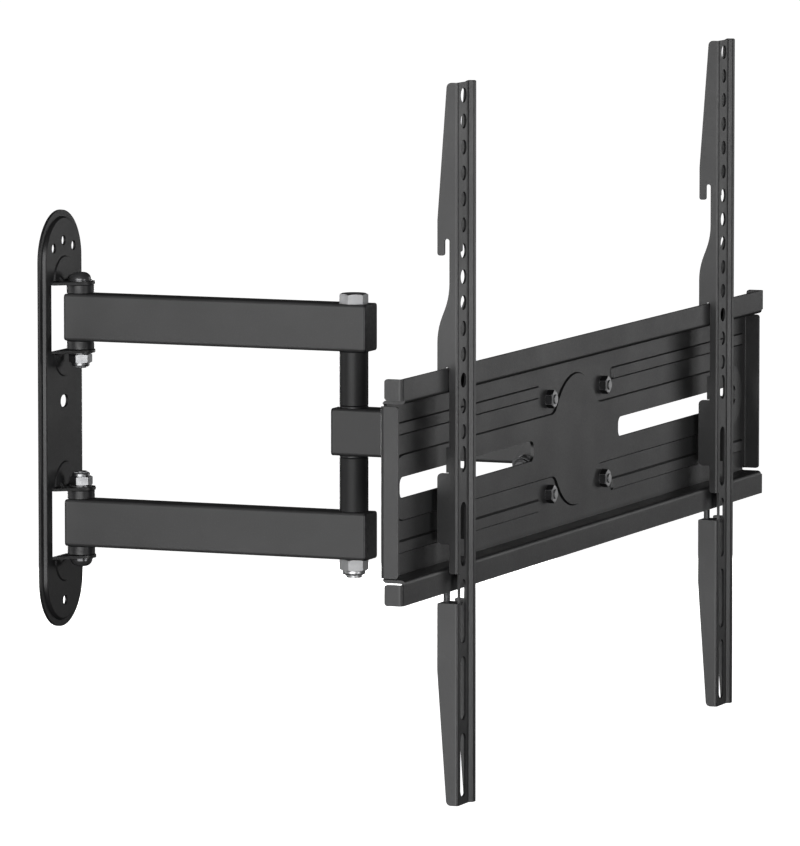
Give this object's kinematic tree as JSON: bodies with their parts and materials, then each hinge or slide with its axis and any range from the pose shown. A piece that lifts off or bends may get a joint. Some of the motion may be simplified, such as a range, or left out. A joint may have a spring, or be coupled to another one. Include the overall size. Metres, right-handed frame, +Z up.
{
  "type": "tv wall mount",
  "caption": "Full motion television wall mount: pressed wall plate, twin folding arms, swivelling and tilting head, wide slotted panel and hook-on side brackets.",
  "frame": {"origin": "middle of the wall plate, on the plane of the wall", "axes": "+Z up, -Y from the wall into the room, +X to the right of someone in the room who faces the wall; the arms are straight out at rest"},
  "size_m": [0.6322, 0.3744, 0.433],
  "materials": {
    "plate_steel": "satin powder coat",
    "arm_steel": "satin powder coat",
    "forearm_steel": "satin powder coat",
    "post_steel": "satin powder coat",
    "head_steel": "satin powder coat",
    "tilt_steel": "satin powder coat",
    "panel_steel": "fine matt powder coat",
    "bracket_steel": "fine matt powder coat",
    "bushing_plastic": "moulded nylon",
    "cap_plastic": "moulded polyethylene",
    "spacer_plastic": "moulded nylon",
    "black_fastener": "black oxide",
    "black_washer": "black oxide",
    "black_nut": "black oxide",
    "zinc_nut": "bright zinc plate",
    "elbow_bolt_steel": "dull zinc plate",
    "lock_screw_steel": "black zinc",
    "pivot_sleeve": "turned steel",
    "elbow_sleeve": "turned steel",
    "elbow_spacer": "turned steel"
  },
  "bodies": {
    "wall_base": {"wall_plate": "plate_steel", "wall_pivot_bolts": "black_fastener", "wall_pivot_nuts": "zinc_nut", "wall_pivot_washers": "black_washer"},
    "arms": {"upper_arm": "arm_steel", "lower_arm": "arm_steel", "arm_end_caps": "cap_plastic", "wall_pivot_bushings": "bushing_plastic", "wall_pivot_sleeves": "pivot_sleeve", "elbow_posts": "post_steel", "elbow_spacers": "elbow_spacer", "elbow_bolt": "elbow_bolt_steel", "elbow_nut": "zinc_nut"},
    "forearm": {"forearm": "forearm_steel", "forearm_end_caps": "cap_plastic", "elbow_bushings": "bushing_plastic", "elbow_sleeve": "elbow_sleeve", "head_bushings": "bushing_plastic", "head_sleeve": "pivot_sleeve"},
    "head": {"swivel_head": "head_steel", "head_bolt": "black_fastener", "head_nut": "zinc_nut", "head_washers": "black_washer", "tilt_bolts": "black_fastener", "tilt_nuts": "black_nut", "tilt_washers": "black_washer"},
    "panel": {"tilt_plate": "tilt_steel", "panel_bolts": "black_fastener", "panel_nuts": "black_nut", "panel_spacers": "spacer_plastic", "tv_panel": "panel_steel"},
    "left_bracket": {"left_tv_bracket": "bracket_steel"},
    "right_bracket": {"right_tv_bracket": "bracket_steel"},
    "left_lock": {"left_lock_screw": "lock_screw_steel"},
    "right_lock": {"right_lock_screw": "lock_screw_steel"}
  },
  "joints": [
    {"name": "wall_swivel", "type": "hinge", "parent": "wall_base", "child": "arms", "pos_m": [0, -0.0154, 0], "axis": [0, 0, 1], "range_deg": [-90, 90]},
    {"name": "elbow_swivel", "type": "hinge", "parent": "arms", "child": "forearm", "pos_m": [0, -0.2045, 0], "axis": [0, 0, -1], "range_deg": [-120, 120]},
    {"name": "head_swivel", "type": "hinge", "parent": "forearm", "child": "head", "pos_m": [0, -0.322, 0], "axis": [0, 0, 1], "range_deg": [-60, 60]},
    {"name": "tilt", "type": "hinge", "parent": "head", "child": "panel", "pos_m": [0, -0.332, -0.014], "axis": [1, 0, 0], "range_deg": [-5, 15]},
    {"name": "left_bracket_slide", "type": "slide", "parent": "panel", "child": "left_bracket", "axis": [1, 0, 0], "range_m": [-0.065, 0.134]},
    {"name": "right_bracket_slide", "type": "slide", "parent": "panel", "child": "right_bracket", "axis": [1, 0, 0], "range_m": [-0.119, 0.073]},
    {"name": "left_lock_slide", "type": "slide", "parent": "left_bracket", "child": "left_lock", "axis": [0, 0, 1], "range_m": [-0.012, 0]},
    {"name": "right_lock_slide", "type": "slide", "parent": "right_bracket", "child": "right_lock", "axis": [0, 0, 1], "range_m": [-0.012, 0]}
  ]
}
